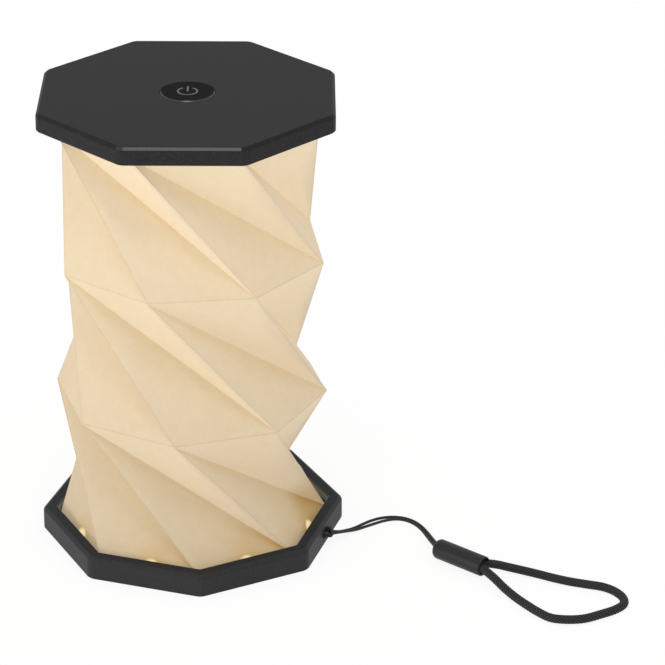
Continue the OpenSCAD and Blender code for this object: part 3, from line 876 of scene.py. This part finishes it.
def fold_the_sheet(piece):
    """Draws the foot's outline up and round, ring by ring, and creases each tier along its valleys."""
    edit(piece)
    bpy.ops.mesh.select_mode(type="VERT")
    pick_all()
    for ring in range(1, TIERS + 1):
        extrude(0, 0, TIER_HEIGHT + SETTLED_LIFT[ring] - SETTLED_LIFT[ring - 1])
        turn = TIER_TURN - SETTLED_TURN[ring] + SETTLED_TURN[ring - 1]
        bpy.ops.transform.rotate(value=turn, orient_axis="Z", center_override=(0, 0, 0))
    pick_all()
    bpy.ops.mesh.quads_convert_to_tris(quad_method="LONGEST_DIAGONAL")
    drawn = shade_corner(*DRAWN_CORNER)
    inwards = -Vector((drawn.x, drawn.y, 0)).normalized() * DRAWN_IN
    pick(piece, "VERT", lambda place: (place + inwards - drawn).length < DRAWN_IN / 2)
    bpy.ops.transform.translate(value=inwards)
    pick_all()
    bpy.ops.mesh.subdivide(number_cuts=PANEL_CUTS)
    pick_all()
    bpy.ops.mesh.normals_make_consistent(inside=False)
    shape = bmesh.from_edit_mesh(piece.data)
    if sum(face.normal.dot(face.calc_center_median() * Vector((1, 1, 0))) for face in shape.faces) < 0:
        bpy.ops.mesh.flip_normals()
    done()


def bow_the_panels(piece, lines):
    """Swells each panel a little between its folds, outwards where it faces up and inwards where down."""
    full_swell_at = 0.0085
    outwards = 0.0007
    inwards = -0.0005
    crumple_size = 0.0003
    crumple_scale = 45
    points = mesh_vectors(piece)
    normals = mesh_vectors(piece, "normal")
    ridge, valley, level = (distances(points, kind) for kind in lines)
    swell = np.minimum(ridge * valley * level / full_swell_at ** 3, 1.0)
    amount = np.where(normals[:, 2] > 0, outwards, inwards) * swell
    crumple = np.array([noise.noise(Vector(point) * crumple_scale) for point in points])
    points += normals * (amount + crumple * crumple_size * np.minimum(swell * 3, 1))[:, None]
    piece.data.vertices.foreach_set("co", points.ravel())
    piece.data.update()


def shade_piece():
    """Folded sheet, which carries its places at rest and its distances from the folds for its finish."""
    piece = add(
        bpy.ops.mesh.primitive_circle_add, "folded_paper_shade", vertices=SIDES, radius=SHADE_RADIUS,
        location=(0, 0, SHADE_FOOT), rotation=(0, 0, HALF_SIDE))
    fold_the_sheet(piece)
    lines = fold_lines()
    points = mesh_vectors(piece)
    for layer, kind in zip(("ridge", "valley", "level"), lines):
        attribute = piece.data.attributes.new(layer, "FLOAT", "POINT")
        attribute.data.foreach_set("value", distances(points, kind))
    rest = piece.data.attributes.new("rest", "FLOAT_VECTOR", "POINT")
    rest.data.foreach_set("vector", points.ravel())
    faces_up = piece.data.attributes.new("faces_up", "FLOAT", "FACE")
    faces_up.data.foreach_set("value", [float(face.normal.z > 0) for face in piece.data.polygons])
    bow_the_panels(piece, lines)
    use_modifier(piece, "SOLIDIFY", thickness=SHEET_THICKNESS, offset=-1, use_even_offset=True)
    return piece


def make_shade():
    """Folded sheet, on the shade's body."""
    piece = shade_piece()
    smooth(piece, math.radians(12))
    finish_piece(piece, "shade", "sheet", "sheet", "folded_shade")
    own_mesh(piece)


def make_lead():
    """Loose coil of the switch's lead inside the shade, on the shade's body."""
    turns = 5
    swing = 0.0016
    radius = 0.0008
    low = 0.0019
    high = LID_PLATE_TOP + 0.0006
    shares = np.linspace(0, 1, 241)
    angles = math.tau * turns * shares
    heights = low + shares * (high - low)
    line = np.array([LEAD_X + swing * np.cos(angles), swing * np.sin(angles), heights]).T
    lead = cord_mesh("coiled_lead", line, radius, 14, lambda turn, length: 0.0)
    finish_piece(lead, "shade", "wire", "wire", "switch_lead")
    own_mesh(lead)


# Shells
def block(name, apothem, corner, low, high, turn=0.0):
    """Eight-sided block with rounded upright corners."""
    piece = cylinder(name, SIDES, apothem / math.cos(HALF_SIDE), low, high, HALF_SIDE + turn)
    round_edges(piece, lambda a, b: abs(a.z - b.z) > SLIVER, corner * math.tan(HALF_SIDE), 8)
    return piece


def bars(diameter, low, high, places, around=48):
    """Upright round bars of one size."""
    return repeat_at(cylinder("bars", around, diameter / 2, low, high), places)


def box(low, high):
    """Square-cornered block between two corners."""
    return add(
        bpy.ops.mesh.primitive_cube_add, "box", size=1, location=[(a + b) / 2 for a, b in zip(low, high)],
        scale=[b - a for a, b in zip(low, high)])


def lying(axis):
    """Tests that an edge runs along an axis."""
    return lambda a, b: abs((a - b).normalized()[axis]) > 0.99


def shell_block(name, low, high, edge_size, edge_steps, turn=0.0):
    """Housing's outside: rounded corners, a rounded or cut upper edge and a small chamfer below."""
    piece = block(name, APOTHEM, CORNER_RADIUS, low, high, turn)
    round_edges(piece, lambda a, b: min(a.z, b.z) > high - SLIVER, edge_size, edge_steps)
    round_edges(piece, lambda a, b: max(a.z, b.z) < low + SLIVER, FOOT_CHAMFER, 1)
    return piece


def give_faces(piece, finish, test):
    """Gives the faces that pass the test a second finish."""
    piece.data.materials.append(material_of(finish))
    index = len(piece.data.materials) - 1
    for face in piece.data.polygons:
        if test(face.center, face.normal):
            face.material_index = index


def reach(point, turn=0.0):
    """Distance of a point from the axis, measured across the nearest flat."""
    return max(point.x * math.cos(a + turn) + point.y * math.sin(a + turn) for a in SIDE_ANGLES)


def well_cutter():
    """Fills the tray above its floor, and flares at the rim's inner edge."""
    lead_in = EDGE_SIZE / 2
    cutter = block("well", INNER_APOTHEM, INNER_CORNER_RADIUS, FLOOR_TOP, BASE_TOP - WALL_BAND)
    edit(cutter)
    pick(cutter, "FACE", lambda centre, normal: normal.z > FACING)
    extrude(0, 0, WALL_BAND - lead_in)
    steps = 5
    wide = INNER_APOTHEM
    high = BASE_TOP - lead_in
    for step in range(1, steps + 1):
        turn = math.pi / 2 * step / steps
        wider = INNER_APOTHEM + lead_in * (1 - math.cos(turn))
        higher = BASE_TOP - lead_in + lead_in * math.sin(turn)
        extrude(0, 0, higher - high)
        bpy.ops.transform.resize(value=(wider / wide, wider / wide, 1), center_override=(0, 0, higher))
        wide = wider
        high = higher
    extrude(0, 0, CUT_OVER)
    done()
    return cutter


def socket_bar(grow, near, far):
    """Rounded flat bar on the socket's line."""
    half_width = SOCKET_WIDTH / 2 + grow
    half_height = SOCKET_HEIGHT / 2 + grow
    bar = box(
        (SOCKET_X - half_width, near, SOCKET_MIDDLE - half_height),
        (SOCKET_X + half_width, far, SOCKET_MIDDLE + half_height))
    round_edges(bar, lying(1), half_height * 0.99, 10)
    return bar


def anchor_cutters():
    """Two slots beside the strap's bar, and the tunnel that joins them behind it."""
    half = BAR_WIDTH / 2 + SLOT_WIDTH
    tunnel_back = TUNNEL_FAR - TUNNEL_WIDTH
    low = SLOT_MIDDLE - SLOT_HEIGHT / 2
    high = SLOT_MIDDLE + SLOT_HEIGHT / 2
    cutters = [box((tunnel_back, -half, low), (TUNNEL_FAR, half, high))]
    for side in (-1, 1):
        near, far = sorted((side * BAR_WIDTH / 2, side * half))
        slot = box((tunnel_back + SLIVER, near, low), (APOTHEM + RIM_WIDTH, far, high))
        round_edges(slot, lying(0), SLOT_WIDTH / 2 * 0.98, 8)
        cutters.append(slot)
    return cutters


def make_tray():
    """Base's casing: the well with its rim, the bay under the floor, and the holes through it."""
    upright = 0.05
    nearly_upright = 0.1
    nearly_level = 0.97
    level = 0.99
    tray = shell_block("base_shell", 0, BASE_TOP, TRAY_EDGE_SIZE, 8)
    cut(tray, well_cutter())
    cut(tray, block("recess", COVER_APOTHEM, CORNER_RADIUS, -CUT_OVER, COVER_THICKNESS))
    bay = block("bay", BAY_APOTHEM, INNER_CORNER_RADIUS, 0, FLOOR_UNDER)
    cut(bay, bars(BOSS_DIAMETER, -CUT_OVER, FLOOR_UNDER + CUT_OVER, around_axis(FOUR_ANGLES, SCREW_RADIUS)))
    cut(tray, bay)
    cut(tray, bars(SCREW_HOLE, 0, FLOOR_UNDER - SCREW_HEAD / 2, around_axis(FOUR_ANGLES, SCREW_RADIUS), 24))
    cut(tray, bars(LIGHT_HOLE, 0, BASE_TOP, around_axis(SIDE_ANGLES, LIGHT_RADIUS)))
    cut(tray, bars(MAGNET_HOLE, 0, BASE_TOP - MAGNET_SKIN, around_axis(FOUR_ANGLES, MAGNET_RADIUS), 32))
    cut(tray, bars(LEAD_HOLE, 0, BASE_TOP, [Matrix.Translation((LEAD_X, 0, 0))]))
    cut(tray, socket_bar(PRESS_GAP, SOCKET_NEAR - PRESS_GAP, APOTHEM + RIM_WIDTH))
    for cutter in anchor_cutters():
        cut(tray, cutter)
    smooth_shell(tray)
    finish_piece(tray, "base", "plastic", "plastic", "base_tray")
    # The upper band of the well's inner wall gets the light grey: painted reflection.
    give_faces(tray, "painted_reflection_wall", lambda centre, normal: (
        centre.z > BASE_TOP - WALL_BAND and abs(normal.z) < nearly_upright
        and abs(reach(centre) - INNER_APOTHEM) < SLIVER))
    give_faces(tray, "lip", lambda centre, normal: (
        centre.z > BASE_TOP - EDGE_SIZE and nearly_upright < normal.z < nearly_level
        and reach(centre) < INNER_APOTHEM + EDGE_SIZE))
    # The rim's top gets the bluish charcoal: painted sheen.
    give_faces(tray, "rim", lambda centre, normal: centre.z > BASE_TOP - SLIVER and normal.z > nearly_level)
    # The tray's rounded upper edge gets the lighter charcoal: painted soft highlight.
    give_faces(tray, "tray_edge_highlight", lambda centre, normal: (
        centre.z > BASE_TOP - TRAY_EDGE_SIZE and upright < normal.z < level
        and reach(centre) > APOTHEM - TRAY_EDGE_SIZE))
    # The tray's outer walls get the lighter charcoal: painted light.
    give_faces(tray, "tray_wall_painted_light", lambda centre, normal: (
        abs(normal.z) < upright and reach(centre) > APOTHEM - CORNER_RADIUS / 2
        and normal.dot(centre) > APOTHEM / 2))


def make_lid():
    """Lid's casing, open below, with a cut upper edge and the button's hole."""
    edge_border = 0.00022
    lid = shell_block("lid_shell", LID_LOW, LID_TOP, EDGE_SIZE, 1, LID_TURN)
    for z in (LID_TOP, LID_TOP - EDGE_SIZE):
        round_edges(lid, lambda a, b: max(abs(a.z - z), abs(b.z - z)) < SLIVER, edge_border, 3)
    cut(lid, block("well", INNER_APOTHEM, INNER_CORNER_RADIUS, LID_LOW - CUT_OVER, LID_PLATE_TOP, LID_TURN))
    bay = block("bay", INNER_APOTHEM - LEDGE_WIDTH, INNER_CORNER_RADIUS, LID_LOW, LID_CEILING, LID_TURN)
    bosses = around_axis(FOUR_ANGLES, SCREW_RADIUS, LID_TURN)
    cut(bay, bars(BOSS_DIAMETER, LID_PLATE_TOP, LID_TOP, bosses))
    cut(lid, bay)
    cut(lid, bars(SCREW_HOLE, LID_LOW, LID_CEILING - SCREW_HEAD, bosses, 24))
    cut(lid, bars(
        MAGNET_HOLE, LID_LOW - CUT_OVER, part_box("lid_magnets")[1][2] + PRESS_GAP,
        around_axis(FOUR_ANGLES, MAGNET_RADIUS, LID_TURN), 32))
    cut(lid, bars(
        2 * (BUTTON_RADIUS + SLIDE_GAP), LID_LOW, LID_TOP + CUT_OVER, [Matrix()], BUTTON_AROUND))
    smooth_shell(lid)
    finish_piece(lid, "lid", "plastic", "plastic", "lid_cover")
    # Only the front part of the cut upper edge gets the lighter finish: painted highlight.
    give_faces(lid, "edge", lambda centre, normal: (
        centre.z > LID_TOP - EDGE_SIZE and 0.5 < normal.z < 0.9 and centre.y < -INNER_APOTHEM
        and normal.y < -0.6))
    # The lid's sides get the lighter charcoal: painted light.
    give_faces(lid, "lid_wall_painted_light", lambda centre, normal: (
        abs(normal.z) < 0.3 and reach(centre, LID_TURN) > APOTHEM - CORNER_RADIUS / 2
        and normal.dot(centre) > APOTHEM / 2))


def make_button():
    """Button with a cut edge, a flange that keeps it under the lid's top, and a stem over the switch."""
    flange_radius = BUTTON_RADIUS + BUTTON_FLANGE
    button = cylinder("push_button", BUTTON_AROUND, flange_radius, FLANGE_TOP - FLANGE_THICKNESS, FLANGE_TOP)
    edit(button)
    pick(button, "FACE", lambda centre, normal: normal.z > FACING)
    bpy.ops.mesh.inset(thickness=BUTTON_FLANGE)
    extrude(0, 0, BUTTON_TOP - FLANGE_TOP)
    pick(button, "FACE", lambda centre, normal: normal.z < -FACING)
    bpy.ops.mesh.inset(thickness=flange_radius - STEM_RADIUS)
    extrude(0, 0, BUTTON_LOW - FLANGE_TOP + FLANGE_THICKNESS)
    done()
    round_edges(button, lambda a, b: min(a.z, b.z) > BUTTON_TOP - SLIVER, BUTTON_EDGE, 1)
    smooth_shell(button)
    finish_piece(button, "button", "button_plastic", "button_plastic", "power_button")
    # The button's cut edge gets the lighter black: painted highlight.
    give_faces(button, "button_rim_highlight", lambda centre, normal: (
        centre.z > BUTTON_TOP - BUTTON_EDGE and 0.15 < normal.z < 0.97))


def make_power_mark():
    """Plain on-and-off sign, printed on the button: an open ring and a bar."""
    outside = 0.0036
    stroke = 0.0006
    opening = math.radians(27)
    bar_length = 0.0046
    bar_middle = 0.0021
    print_thickness = 0.00006
    sign_turn = math.radians(18)
    ring = add(
        bpy.ops.mesh.primitive_circle_add, "power_mark", vertices=96, radius=outside,
        location=(0, 0, BUTTON_TOP))
    edit(ring)
    pick(ring, "VERT", lambda place: abs(math.atan2(place.x, place.y)) < opening)
    bpy.ops.mesh.delete(type="VERT")
    pick_all()
    extrude(0, 0, 0)
    inwards = 1 - stroke / outside
    bpy.ops.transform.resize(value=(inwards, inwards, 1), center_override=(0, 0, BUTTON_TOP))
    done()
    use_modifier(ring, "SOLIDIFY", thickness=print_thickness, offset=0)
    bar = box(
        (-stroke / 2, bar_middle - bar_length / 2, BUTTON_TOP - print_thickness / 2),
        (stroke / 2, bar_middle + bar_length / 2, BUTTON_TOP + print_thickness / 2))
    mark = join([ring, bar])
    mark.data.transform(Matrix.Rotation(sign_turn, 4, "Z"))
    finish_piece(mark, "button", "button_plastic", "mark")


def make_socket():
    """Charging socket: a drawn metal shell, and the tongue in it."""
    shell = socket_bar(0, SOCKET_NEAR, SOCKET_NEAR + SOCKET_LENGTH)
    shell.name = "charging_socket"
    edit(shell)
    pick(shell, "FACE", lambda centre, normal: normal.y > FACING)
    bpy.ops.mesh.inset(thickness=SOCKET_WALL)
    extrude(0, SOCKET_WALL - SOCKET_LENGTH, 0)
    done()
    smooth_shell(shell)
    finish_piece(shell, "base", "metal", "metal", "usb_socket")
    tongue = box(
        (SOCKET_X - TONGUE_WIDTH / 2, SOCKET_NEAR + SOCKET_WALL / 2, SOCKET_MIDDLE - TONGUE_THICKNESS / 2),
        (SOCKET_X + TONGUE_WIDTH / 2, SOCKET_NEAR + SOCKET_LENGTH - TONGUE_SHORT,
         SOCKET_MIDDLE + TONGUE_THICKNESS / 2))
    tongue.name = "socket_tongue"
    round_edges(tongue, lambda a, b: True, TONGUE_THICKNESS / 6, 2)
    smooth_shell(tongue)
    finish_piece(tongue, "base", "board_parts", "board_parts", "usb_socket")


# Studio
def soft_light(name, location, aim, size, power):
    data = bpy.data.lights.new(name, "AREA")
    data.shape = "RECTANGLE"
    data.size, data.size_y = size
    data.energy = power
    lamp = bpy.data.objects.new(name, data)
    bpy.context.scene.collection.objects.link(lamp)
    lamp.location = location
    lamp.rotation_euler = (Vector(aim) - Vector(location)).to_track_quat("-Z", "Y").to_euler()


def show_plain(work, lit, plain, output, share):
    """Shows a plain shader in place of the lit one, by a share, to camera, glossy and transmission rays."""
    rays = work.new("LightPath").outputs
    seen = work.combine("MAXIMUM", rays["Is Camera Ray"], rays["Is Glossy Ray"])
    seen = work.combine("MAXIMUM", seen, rays["Is Transmission Ray"])
    mix = work.new("MixShader", {"Fac": work.product(seen, share), 1: lit.outputs[0], 2: plain.outputs[0]})
    work.put(mix.outputs[0], output.inputs["Surface"])


def lay_floor():
    """White floor, which keeps a part of the lamp's shadow."""
    paint = 0.86
    plain_share = 0.86
    plain_strength = 1.03
    floor = add(bpy.ops.mesh.primitive_plane_add, "studio_floor", size=8)
    finish = Finish("studio_white", 0.9)
    finish.give("Base Color", (paint, paint, paint, 1))
    plain = finish.new("Emission", {"Strength": plain_strength})
    show_plain(finish, finish.shader, plain, finish.nodes["Material Output"], plain_share)
    floor.data.materials.append(finish.material)


def light_studio():
    """Even light from all round, one soft lamp in front and above, and a weaker one on the left."""
    ambient_strength = 0.8
    world = bpy.data.worlds.new("studio")
    bpy.context.scene.world = world
    world.use_nodes = True
    work = NodeWork(world.node_tree)
    ambient = work.nodes["Background"]
    work.put((1, 1, 1, 1), ambient.inputs["Color"])
    work.put(ambient_strength, ambient.inputs["Strength"])
    show_plain(work, ambient, work.new("Background"), work.nodes["World Output"], 1.0)
    soft_light("front_light", (0.135, -0.47, 1.2), (0, 0, 0.16), (0.5, 0.28), 2.2)
    soft_light("left_light", (-0.85, -0.95, 0.14), (0, 0, 0.09), (0.9, 0.5), 4.7)
    bpy.context.scene.view_settings.view_transform = "Standard"


place_camera()
make_strap()
paint_cad_nodes()
make_shade()
make_lead()
make_tray()
make_lid()
make_button()
make_power_mark()
make_socket()
lay_floor()
light_studio()
